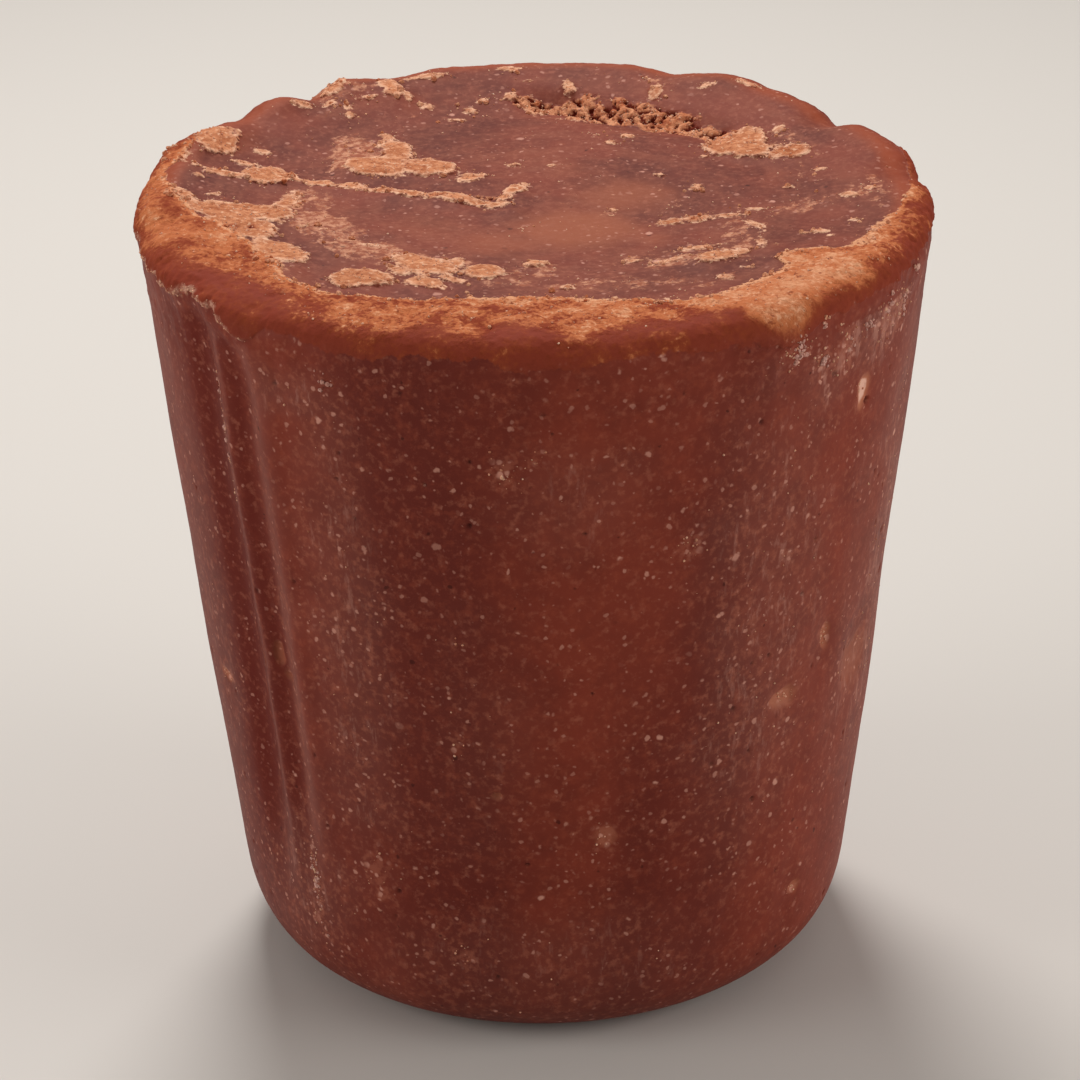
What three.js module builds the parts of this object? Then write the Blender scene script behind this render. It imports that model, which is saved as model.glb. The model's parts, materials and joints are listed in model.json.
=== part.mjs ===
// A block of jaggery, the dark raw cane sugar that is boiled down, poured into a bucket mould and
// knocked out when it has set. It is one solid: a tapered drum that stands on its narrow end, with
// a rounded bottom edge, a poured face with plates of set froth on it, and a crusted, chipped rim.
// All of that is relief on a revolved profile.
//
// Millimetres and degrees. +Z is up, and the origin is on the floor below the middle of the block.
// Angles go round from the front (-Y) towards the right (+X).
import * as THREE from "three";
import { ImprovedNoise } from "three/addons/math/ImprovedNoise.js";

// The drum.
const POUR_HEIGHT = 104.5; // floor to the poured face
const TOP_RADIUS = 51.7; // wall line at the poured face
const FLOOR_RADIUS = 40.1; // wall line carried on down to the floor
const BASE_ROUND = 12;
const RIM_ROUND = 4;
const DISH = 0.6; // how far the poured face sank in the middle as it cooled
const FACE_SWELL = { height: 0.4, width: 26 }; // broad unevenness of the poured face
const WALL_SWELL = { height: 0.35, width: 32 };
const WALL_RIPPLE = { height: 0.12, width: 10 };

// The rim's crest stands up at the back and is level with the poured face in front.
const CREST_FRONT = 0.1;
const CREST_BACK = 3.3;
const CREST_INNER = 34; // radius at which the face starts to rise to the crest
const CREST_OUTER = 49.5;

// Chips out of the crest and, where depth is negative, lobes on it. angle is the middle of each, and
// width is in degrees.
const CHIPS = [
  { angle: -157, width: 12, depth: 0.9 },
  { angle: -148, width: 8, depth: -0.7 },
  { angle: -141, width: 8, depth: 1.9 },
  { angle: -133, width: 8, depth: -0.8 },
  { angle: -127, width: 5, depth: 0.8 },
  { angle: -112, width: 18, depth: -1.2 },
  { angle: -80, width: 9, depth: 0.7 },
  { angle: 70, width: 9, depth: 0.8 },
  { angle: 97, width: 12, depth: 1.4 },
  { angle: 123.5, width: 11, depth: 2.1 },
  { angle: 146, width: 14, depth: -0.8 },
  { angle: 157, width: 9, depth: 1 },
];
const CHIP_FLAT = 0.2; // share of a chip's half width that is its flat bottom
const CHIP_INNER = 43.5; // radius from which the chips reach out to the rim
const CHIP_FULL = 48.5;

// The rim's crust: the radius at which it starts on the poured face, the height at which it ends
// on the wall, and how far it stands out of the wall there, each as [angle, value].
const CRUST_START = [
  [-145, 45], [-88, 45.5], [-75, 36], [-60, 33.5], [-44, 38], [-20, 37.5], [0, 36], [30, 39.5],
  [45, 39.5], [52, 36.5], [60, 45.5], [90, 47.5], [170, 49],
];
const CRUST_END = [
  [-145, 102.3], [-75, 102], [-58, 102.6], [-43, 99.8], [-36, 102.6], [-24, 101.4], [-8, 102.8],
  [4, 101.8], [20, 103.4], [35, 98.8], [43, 102.5], [60, 101.5], [110, 102], [160, 101],
];
const CRUST_LIP = [
  [-160, 0.6], [-80, 0.5], [-60, 1.2], [-44, 1.1], [-36, 0.3], [25, 0.3], [34, 0.9], [42, 0.3],
  [130, 0.3],
];
const CRUST_LIFT = 0.45; // how far the crust stands above the poured face
const CRUST_LUMPS = { height: 0.4, width: 7 };
const CRUST_EDGE = 1.4; // width over which it rises
const CRUST_WANDER = { height: 2, width: 6 }; // of its edge on the face
const CRUST_DRIP = { height: 1, width: 6 }; // of its edge on the wall

// Plates of set froth on the poured face. size is [length, width], and turn is the length's direction.
const PLATES = [
  { at: [-42.5, 20.5], size: [11, 7.5], turn: 70, lift: 0.65 },
  { at: [-34.5, 9.5], size: [8, 7.5], turn: 20, lift: 0.7 },
  { at: [-40.5, 8.5], size: [7, 3.5], turn: -15, lift: 0.4 },
  { at: [-37.5, -7.5], size: [13, 11], turn: -20, lift: 0.6 },
  { at: [-32, -2], size: [8, 4], turn: 80, lift: 0.5 },
  { at: [-33, -19], size: [10, 7], turn: -60, lift: 0.6 },
  { at: [-20, 14], size: [13, 10], turn: -25, lift: 0.55 },
  { at: [-13.5, 13], size: [8, 8], turn: 30, lift: 0.6 },
  { at: [-19, 22], size: [8, 4.5], turn: 100, lift: 0.4 },
  { at: [-8.5, 8.5], size: [3.5, 3], turn: 40, lift: 0.5 },
  { at: [-21, -27.5], size: [9.5, 7], turn: -5, lift: 0.6 },
  { at: [-14, -24], size: [8, 5], turn: -40, lift: 0.55 },
  { at: [-6.5, -26], size: [7.5, 4.5], turn: -30, lift: 0.55 },
  { at: [-13.5, -30], size: [6, 3.5], turn: -10, lift: 0.4 },
  { at: [0.2, -22.5], size: [3.4, 3.4], turn: 0, lift: 0.55 },
  { at: [22, -22], size: [9, 5], turn: 15, lift: 0.5 },
  { at: [14, -24], size: [7, 2.4], turn: 20, lift: 0.3 },
  { at: [28.3, 18.8], size: [11, 8], turn: 75, lift: 0.7 },
  { at: [33.8, 15.5], size: [6.5, 5.5], turn: -40, lift: 0.5 },
  { at: [33, -22.5], size: [9, 6], turn: 20, lift: 0.55 },
  { at: [5, 40.3], size: [3.2, 3], turn: 90, lift: 0.5 },
  { at: [21.3, 5], size: [2.6, 2.4], turn: 0, lift: 0.4 },
  { at: [-19.8, 39.2], size: [8, 4.5], turn: 110, lift: 0.5 },
  { at: [-27.2, 38.6], size: [7, 4], turn: 80, lift: 0.4 },
  { at: [-46, -1], size: [6, 4], turn: -45, lift: 0.5 },
  { at: [17.5, 38.8], size: [7, 4], turn: -70, lift: 0.3 },
];
const PLATE_EDGE = 0.35; // share of a plate's half size over which its edge rises
const PLATE_RAGGEDNESS = { height: 0.5, width: 4 }; // height as a share of the half size

// Wrinkles in the poured face and, where lift is negative, tears. width is the whole width.
const WRINKLES = [
  { line: [[-30, 8], [-21, 4.5], [-11, 1.5], [-3.5, -2.5]], width: 4.4, lift: 0.7 },
  { line: [[-3.5, -2.5], [-1.6, 5.5]], width: 3.6, lift: 0.5 },
  { line: [[17, -9.5], [25.5, -8], [28.5, -13], [29, -19]], width: 3.2, lift: 0.4 },
  { line: [[-28, -3], [-27, -14], [-18, -21.5]], width: 3.6, lift: 0.3 },
  { line: [[38, -2], [38.5, 4]], width: 3.6, lift: 0.3 },
  { line: [[1, 38], [8, 34.5], [14, 31], [21, 29], [26, 25.5]], width: 8.5, lift: -1.1 },
  { line: [[-8, 1], [-4.8, -0.6]], width: 4, lift: -1 },
  { line: [[-38.5, -11.5], [-36, -10]], width: 3, lift: -0.8 },
];
const WRINKLE_LUMPS = { height: 0.5, width: 5 }; // height as a share of the wrinkle's lift

// Folds that the mould's lining left down the wall, from one height to another: grooves and, where
// depth is negative, crests beside them. Each fades out over its lowest FOLD_FADE.
const FOLDS = [
  { angle: -55.5, halfWidth: 4.6, depth: 1.25, from: 103, to: 12 },
  { angle: -50.6, halfWidth: 1.6, depth: -0.35, from: 100, to: 20 },
  { angle: -46.3, halfWidth: 3.2, depth: 0.8, from: 101, to: 17 },
  { angle: -41.5, halfWidth: 2.6, depth: -0.45, from: 98, to: 24 },
  { angle: 128, halfWidth: 4.2, depth: 0.9, from: 102, to: 15 },
  { angle: 134, halfWidth: 2.2, depth: -0.4, from: 99, to: 26 },
];
const FOLD_FADE = 20;

// Pits, scoops and scars in the wall. size is [width, height].
const PITS = [
  { angle: 64, z: 47.5, size: [10, 10], depth: 1.1 },
  { angle: 41.5, z: 48.5, size: [6, 4.5], depth: 1.1 },
  { angle: 53.5, z: 88, size: [3.6, 6], depth: 1.1 },
  { angle: 52, z: 54.5, size: [3.2, 6.5], depth: 0.8 },
  { angle: 50, z: 17, size: [4, 4], depth: 0.8 },
  { angle: -7.5, z: 40.5, size: [2.6, 2.6], depth: 0.9 },
  { angle: -66, z: 45, size: [4, 2.6], depth: 0.7 },
  { angle: -47, z: 54, size: [3.4, 5], depth: 0.6 },
  { angle: 60, z: 97, size: [9, 6], depth: 0.6 },
  { angle: -112, z: 30, size: [7, 9], depth: 1 },
  { angle: 171, z: 71, size: [4, 4], depth: 0.9 },
  { angle: -158, z: 52, size: [8, 6], depth: 0.9 },
  { angle: 108, z: 83, size: [3.4, 5.4], depth: 0.9 },
];
const PIT_FLAT = 0.3; // share of a pit's half size that is its flat bottom

// How finely the relief is cut.
const TOP_SPACING = 1.9;
const FLOOR_SPACING = 6;
const WALL_COLUMN = 3; // degrees
const FOLD_COLUMN = 1.3;
const FOLD_SPAN = [-62, -38]; // angles between which the columns stand closer
const WALL_ROWS = { rim: 5, wall: 16, base: 4 };

const radians = THREE.MathUtils.degToRad;
const smooth = THREE.MathUtils.smoothstep;
const lerp = THREE.MathUtils.lerp;
const modulo = THREE.MathUtils.euclideanModulo;
const perlin = new ImprovedNoise();

// Smooth noise from about -height to height, whose lumps have lumps of half their width on them.
function lumps({ x, y, z }, { height, width }) {
  const at = (size) => perlin.noise(x / size, y / size, z / size);
  return height * (1.4 * at(width) + 0.5 * at(width / 2));
}

// Degrees from one angle to another, the short way round.
function turnBetween(a, b) {
  return modulo(a - b + 180, 360) - 180;
}

// The value at an angle of a list of [angle, value] that runs once round the block.
function around(list, angle) {
  const [first, value] = list[0];
  const closed = [...list, [first + 360, value]];
  const turned = first + modulo(angle - first, 360);
  const next = closed.findIndex(([a]) => a > turned);
  const [a0, v0] = closed[next - 1];
  const [a1, v1] = closed[next];
  return lerp(v0, v1, smooth(turned, a0, a1));
}

// 1 on a line of points [x, y], falling to 0 at half its width from it.
function nearLine(point, { line, width }) {
  const here = new THREE.Vector3(point.x, point.y, 0);
  const bends = line.map(([x, y]) => new THREE.Vector3(x, y, 0));
  const distances = bends.slice(1).map((bend, i) => {
    const stretch = new THREE.Line3(bends[i], bend);
    return stretch.closestPointToPoint(here, true, new THREE.Vector3()).distanceTo(here);
  });
  return 1 - smooth(Math.min(...distances), 0, width / 2);
}

// How far the rim's crest stands above the poured face, without its chips.
function crestHeight(angle) {
  return lerp(CREST_FRONT, CREST_BACK, (1 - Math.cos(radians(angle))) / 2);
}

function chipDepth(angle) {
  let depth = 0;
  for (const chip of CHIPS) {
    const out = Math.abs(turnBetween(angle, chip.angle)) / (chip.width / 2);
    depth += chip.depth * (1 - smooth(out, CHIP_FLAT, 1));
  }
  return depth;
}

function plateLift(point, { at, size, turn, lift }) {
  const across = new THREE.Vector2(point.x - at[0], point.y - at[1]);
  across.rotateAround(new THREE.Vector2(), radians(-turn));
  const out = Math.hypot(across.x / (size[0] / 2), across.y / (size[1] / 2));
  return lift * smooth(1 + lumps(point, PLATE_RAGGEDNESS) - out, 0, PLATE_EDGE);
}

// Relief of the poured face, upwards.
function topRelief(point, angle) {
  const r = Math.hypot(point.x, point.y);
  const start = around(CRUST_START, angle) + lumps(point, CRUST_WANDER);
  const crust = smooth(r, start, start + CRUST_EDGE);
  const plates = Math.max(0, ...PLATES.map((plate) => plateLift(point, plate)));
  let lift = lumps(point, FACE_SWELL) - DISH * (1 - smooth(r, 0, TOP_RADIUS));
  lift += smooth(r, CREST_INNER, CREST_OUTER) * crestHeight(angle);
  lift -= smooth(r, CHIP_INNER, CHIP_FULL) * chipDepth(angle);
  lift += crust * (CRUST_LIFT + lumps(point, CRUST_LUMPS)) + (1 - crust) * plates;
  for (const wrinkle of WRINKLES)
    lift += wrinkle.lift * nearLine(point, wrinkle) * (1 + lumps(point, WRINKLE_LUMPS));
  return lift;
}

// Relief of the wall, outwards.
function wallRelief(point, angle) {
  const r = Math.hypot(point.x, point.y);
  const { z } = point;
  const end = around(CRUST_END, angle) + lumps(point, CRUST_DRIP);
  const crust = smooth(z, end - CRUST_EDGE, end);
  let lift = lumps(point, WALL_SWELL) + lumps(point, WALL_RIPPLE);
  lift += crust * (around(CRUST_LIP, angle) + lumps(point, CRUST_LUMPS) / 2);
  for (const fold of FOLDS) {
    const across = radians(Math.abs(turnBetween(angle, fold.angle))) * r;
    const bottom = smooth(z, fold.to, fold.to + FOLD_FADE);
    const top = 1 - smooth(z, fold.from - CRUST_EDGE, fold.from);
    lift -= fold.depth * bottom * top * (1 - smooth(across, 0, fold.halfWidth));
  }
  for (const pit of PITS) {
    const across = (radians(turnBetween(angle, pit.angle)) * r) / (pit.size[0] / 2);
    const out = Math.hypot(across, (z - pit.z) / (pit.size[1] / 2));
    lift -= pit.depth * (1 - smooth(out, PIT_FLAT, 1));
  }
  return lift * smooth(z, 1, BASE_ROUND);
}

// The revolved profile: curves in (radius, height) from the middle of the top to that of the floor.
function profileCurves() {
  const slope = (TOP_RADIUS - FLOOR_RADIUS) / POUR_HEIGHT;
  const lean = Math.atan(slope);
  // An arc of this radius, with its middle at height z, that touches the wall's line.
  const round = (z, radius, from, to) => {
    const x = FLOOR_RADIUS + z * slope - radius / Math.cos(lean);
    return new THREE.EllipseCurve(x, z, radius, radius, from, to, true);
  };
  const rim = round(POUR_HEIGHT - RIM_ROUND, RIM_ROUND, Math.PI / 2, -lean);
  const base = round(BASE_ROUND, BASE_ROUND, -lean, -Math.PI / 2);
  return {
    top: new THREE.LineCurve(new THREE.Vector2(0, POUR_HEIGHT), rim.getPoint(0)),
    rim,
    wall: new THREE.LineCurve(rim.getPoint(1), base.getPoint(0)),
    base,
    floor: new THREE.LineCurve(base.getPoint(1), new THREE.Vector2(0, 0)),
  };
}

// Angles of the columns down the wall, closer together over the folds.
function wallColumns() {
  const angles = [];
  let angle = -180;
  while (angle < 180 - WALL_COLUMN / 2) {
    angles.push(angle);
    angle += angle >= FOLD_SPAN[0] && angle < FOLD_SPAN[1] ? FOLD_COLUMN : WALL_COLUMN;
  }
  return angles;
}

// Rings on a flat end, some `spacing` apart, whose points stand as far apart as the rings do and are
// offset by half a step on every other ring. Each ring is {curve, at, angles}.
function flatRings(curve, spacing) {
  const steps = Math.round(curve.getLength() / spacing);
  return Array.from({ length: steps - 1 }, (_, ring) => {
    const at = (ring + 1) / steps;
    const count = Math.max(6, Math.round((2 * Math.PI * curve.getPoint(at).x) / spacing));
    const angles = Array.from({ length: count }, (_, i) => -180 + ((i + (ring % 2) / 2) * 360) / count);
    return { curve, at, angles };
  });
}

// All rings down the profile, without the two points on the axis.
function blockRings(curves) {
  const angles = wallColumns();
  const walls = Object.entries(WALL_ROWS).flatMap(([name, rows]) =>
    Array.from({ length: rows }, (_, row) => ({ curve: curves[name], at: row / rows, angles })),
  );
  const floorEdge = { curve: curves.floor, at: 0, angles };
  return [
    ...flatRings(curves.top, TOP_SPACING),
    ...walls,
    floorEdge,
    ...flatRings(curves.floor, FLOOR_SPACING),
  ];
}

// The point of the block's skin over a place on the profile.
function skinPoint(curve, at, angle) {
  const { x: radius, y: z } = curve.getPoint(at);
  const tangent = curve.getTangent(at);
  const out = new THREE.Vector3(Math.sin(radians(angle)), -Math.cos(radians(angle)), 0);
  const point = out.clone().multiplyScalar(radius).setZ(z);
  const normal = out.multiplyScalar(-tangent.y).setZ(tangent.x);
  const down = smooth(POUR_HEIGHT - z, 0, RIM_ROUND);
  const top = down < 1 ? topRelief(point, angle) : 0;
  const wall = down > 0 ? wallRelief(point, angle) : 0;
  return point.addScaledVector(normal, lerp(top, wall, down));
}

// Triangles between two rings of points that may differ in number. The upper ring comes first.
function joinRings(upper, lower, triangles) {
  const angleOf = (ring, n) => ring.angles[n % ring.angles.length] + (n < ring.angles.length ? 0 : 360);
  const indexOf = (ring, n) => ring.first + (n % ring.angles.length);
  let i = 0;
  let j = 0;
  while (i < upper.angles.length || j < lower.angles.length) {
    const upperNext = i < upper.angles.length ? angleOf(upper, i + 1) : Infinity;
    const lowerNext = j < lower.angles.length ? angleOf(lower, j + 1) : Infinity;
    triangles.push(indexOf(upper, i), indexOf(lower, j));
    if (upperNext < lowerNext) {
      i++;
      triangles.push(indexOf(upper, i));
    } else {
      j++;
      triangles.push(indexOf(lower, j));
    }
  }
}

function blockGeometry() {
  const curves = profileCurves();
  const points = [skinPoint(curves.top, 0, 0)];
  const rings = blockRings(curves).map((ring) => {
    const first = points.length;
    points.push(...ring.angles.map((angle) => skinPoint(ring.curve, ring.at, angle)));
    return { ...ring, first };
  });
  const floorMiddle = points.length;
  points.push(new THREE.Vector3(0, 0, 0));
  const triangles = [];
  const closeEnd = (middle, { first, angles }, order) => {
    for (let i = 0; i < angles.length; i++)
      triangles.push(...order(middle, first + i, first + ((i + 1) % angles.length)));
  };
  closeEnd(0, rings[0], (middle, a, b) => [middle, a, b]);
  rings.slice(1).forEach((ring, i) => joinRings(rings[i], ring, triangles));
  closeEnd(floorMiddle, rings[rings.length - 1], (middle, a, b) => [middle, b, a]);
  return new THREE.BufferGeometry().setFromPoints(points).setIndex(triangles);
}

const geometry = blockGeometry();
geometry.computeBoundingBox();
const middle = geometry.boundingBox.getCenter(new THREE.Vector3());
geometry.translate(-middle.x, -middle.y, 0);
geometry.computeVertexNormals();

const jaggery = new THREE.MeshStandardMaterial({ color: 0x6b3026, roughness: 0.5, metalness: 0 });
const block = new THREE.Mesh(geometry, jaggery);
block.name = "jaggery_block";

const part = new THREE.Group();
part.add(block);

export default part;
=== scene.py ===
# A block of jaggery: raw cane sugar boiled down, poured into a bucket mould and knocked out.
# It stands on its narrow end, and the froth that rose while it set has dried on its top.
# Lengths in this file are in millimetres, and mm() turns them into Blender's metres.
import json
from math import cos, radians, sin

import bpy
import numpy as np
from mathutils import Matrix, Vector, noise

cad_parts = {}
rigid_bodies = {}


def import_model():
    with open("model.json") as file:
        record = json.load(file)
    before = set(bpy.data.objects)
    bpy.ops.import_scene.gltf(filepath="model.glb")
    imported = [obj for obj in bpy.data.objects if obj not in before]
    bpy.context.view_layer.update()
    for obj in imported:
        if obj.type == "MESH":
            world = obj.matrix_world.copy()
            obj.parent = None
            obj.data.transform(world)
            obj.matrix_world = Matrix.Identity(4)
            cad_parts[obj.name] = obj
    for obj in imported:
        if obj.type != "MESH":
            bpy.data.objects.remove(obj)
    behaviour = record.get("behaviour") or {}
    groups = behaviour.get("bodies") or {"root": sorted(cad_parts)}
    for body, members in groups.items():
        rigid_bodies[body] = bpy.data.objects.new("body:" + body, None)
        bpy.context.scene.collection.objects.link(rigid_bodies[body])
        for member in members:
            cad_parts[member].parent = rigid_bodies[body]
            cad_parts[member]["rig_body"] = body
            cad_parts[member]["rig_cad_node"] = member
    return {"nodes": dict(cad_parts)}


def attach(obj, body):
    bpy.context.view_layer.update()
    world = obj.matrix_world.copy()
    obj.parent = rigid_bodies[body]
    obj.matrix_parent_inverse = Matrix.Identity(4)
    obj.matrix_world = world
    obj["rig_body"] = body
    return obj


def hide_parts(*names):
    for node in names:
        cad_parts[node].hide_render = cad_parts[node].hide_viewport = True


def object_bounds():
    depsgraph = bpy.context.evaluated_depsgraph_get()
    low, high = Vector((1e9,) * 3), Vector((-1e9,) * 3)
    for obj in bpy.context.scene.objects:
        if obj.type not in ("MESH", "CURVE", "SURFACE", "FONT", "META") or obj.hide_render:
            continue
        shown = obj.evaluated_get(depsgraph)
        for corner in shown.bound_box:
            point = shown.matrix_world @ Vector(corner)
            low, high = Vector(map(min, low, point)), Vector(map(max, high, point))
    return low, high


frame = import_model()
cad_low, cad_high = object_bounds()


# ---- Camera -------------------------------------------------------------------------------------
# It stands in front of the block, looks down on it at about 25 degrees, and leans a little, so
# that the block's right side stands higher in the picture than its left.
def mm(*lengths):
    """Millimetres as metres: one length, or a tuple of several."""
    metres = tuple(length / 1000 for length in lengths)
    return metres if len(metres) > 1 else metres[0]


CAMERA_PLACE = mm(0, -494.2, 283.8)
CAMERA_DIP = 24.76
CAMERA_LEAN = -0.93
CAMERA_LENS = 134.35
dip_turn = Matrix.Rotation(radians(90 - CAMERA_DIP), 3, "X")
lean_turn = Matrix.Rotation(radians(CAMERA_LEAN), 3, "Z")
bpy.ops.object.camera_add(location=CAMERA_PLACE, rotation=(dip_turn @ lean_turn).to_euler())
camera = bpy.context.object
camera.data.lens = CAMERA_LENS
camera.data.sensor_width = 36
bpy.context.scene.camera = camera


# ---- The cast block -----------------------------------------------------------------------------
# One solid piece of set sugar, dark and waxy where the mould's lining shaped it and where the
# poured face lay open. Froth dried on the face as thin plates and on the rim as a grainy crust.
# Angles go round from the front (-Y) towards the right (+X).
def smooth(value, low, high):
    """0 below low, 1 above high, and an even S between."""
    t = np.clip((value - low) / (high - low), 0, 1)
    return t * t * (3 - 2 * t)


def around(table, angle):
    """The value at each angle of a list of (angle, value) that goes once round the block."""
    angles, values = zip(*table)
    return np.interp(angle, angles, values, period=360)


def lumps(points, width, octaves=2):
    """Noise from about -1 to 1 whose largest lumps are this wide."""
    return np.array([noise.fractal(p, 0.8, 2, octaves) for p in (points / width).tolist()])


def pores(points, spacing):
    """How far each point is from the nearest of many points strewn about this far apart."""
    return spacing * np.array([noise.voronoi(p)[0][0] for p in (points / spacing).tolist()])


def mostly_small(sizes, power, count, dice):
    """Random sizes between two, the more of them near the smaller, the higher the power."""
    return sizes[0] + (sizes[1] - sizes[0]) * dice.random(count) ** power


POUR_HEIGHT = 104.5
FACE_FROM = 101  # no plate, film or tear lies lower than this
# The top's relief fades in, and the wall's fades out, between these heights.
TOP_FADE = (91, 97)
WALL_FADE = (92, 99)
# The widths of the lumps that the relief is made of.
SWELLING, COARSE, RAGGED, GRAINY = 8, 5.5, 1.9, 0.85

# The rim's crust by angle. Its inner edge as a radius on the face, its lower edge as a height on
# the wall, how far that lower edge stands out as a lip, and how rough it is. The pale part reaches
# so far from the middle of the face, measured outwards and then down the wall, and is this pale.
CRUST_INNER = [
    (-150, 52.4), (-120, 51.4), (-110, 47.4), (-98, 48.6), (-84, 45), (-76, 41), (-70, 39.5),
    (-62, 39), (-55, 39.5), (-46, 41.5), (-38, 41), (-30, 38.8), (-20, 36.2), (-10, 34.6), (0, 34),
    (10, 34.8), (20, 37.6), (28, 41.2), (33, 41), (37, 39.6), (43, 40.8), (47, 41.5), (50, 40.8),
    (52, 37.6), (59, 40.3), (62, 44.3), (69, 45.3), (75, 46), (80, 47.3), (100, 50), (120, 52.4),
    (180, 52.4),
]
CRUST_LOWER = [
    (-145, 102.8), (-85, 102.4), (-68, 102.2), (-56, 103.2), (-49, 102.9), (-43, 100.8),
    (-40, 102.8), (-24, 101.8), (-8, 102.8), (4, 101.8), (20, 102.8), (29, 102), (34, 100.8),
    (38, 100.8), (42, 101.8), (48, 102.6), (60, 102.8), (110, 102.6), (160, 102),
]
CRUST_LIP = [
    (-150, 0.2), (-126, 0.2), (-114, 0.7), (-97, 0.7), (-85, 0.4), (-75, 0.5), (-60, 0.65),
    (-45, 0.65), (-40, 0.1), (-30, 0), (24, 0), (32, 0.2), (42, 0.2), (60, 0.15), (110, 0.2),
]
CRUST_ROUGHNESS = [
    (-150, 0.9), (-85, 0.7), (-72, 0.6), (-58, 0.9), (-42, 1), (-30, 1.1), (24, 1.1), (31, 0.5),
    (46, 0.4), (56, 0.8), (66, 1.2), (80, 1.1), (110, 0.8),
]
PALE_REACH = [
    (-150, 49), (-118, 50.5), (-95, 52), (-75, 52), (-62, 49), (-54, 47), (-48, 46),
    (-42, 46), (-36, 49), (-28, 50), (-22, 50), (-16, 47.5), (-13, 47), (-10, 50), (-8, 50),
    (-5, 45), (-2, 44.5), (1, 47.5), (4, 49), (8, 49.5), (11, 47.5), (15, 46.5), (19, 47.5),
    (24, 47), (29, 47.5), (32, 51), (35, 55), (38, 55), (41, 51), (46, 50), (53, 50.5), (60, 50.5),
    (70, 49), (95, 50), (135, 50),
]
PALENESS = [
    (-150, 0.5), (-85, 0.62), (-60, 0.58), (-42, 0.48), (-25, 0.54), (0, 0.6), (26, 0.64),
    (34, 0.85), (55, 0.9), (62, 0.6), (80, 0.55), (120, 0.5),
]
CRUST_STAND = 0.16  # how far the crust stands out on the face
LIP_FADE = (49, 53)  # between these distances from the middle of the face the lip takes over
# Light comes through the rim's thin crest, which sets in between these heights and these radii.
GLOW_HEIGHT = (103.8, 106.4)
GLOW_RADIUS = (45.2, 48.4)

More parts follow.
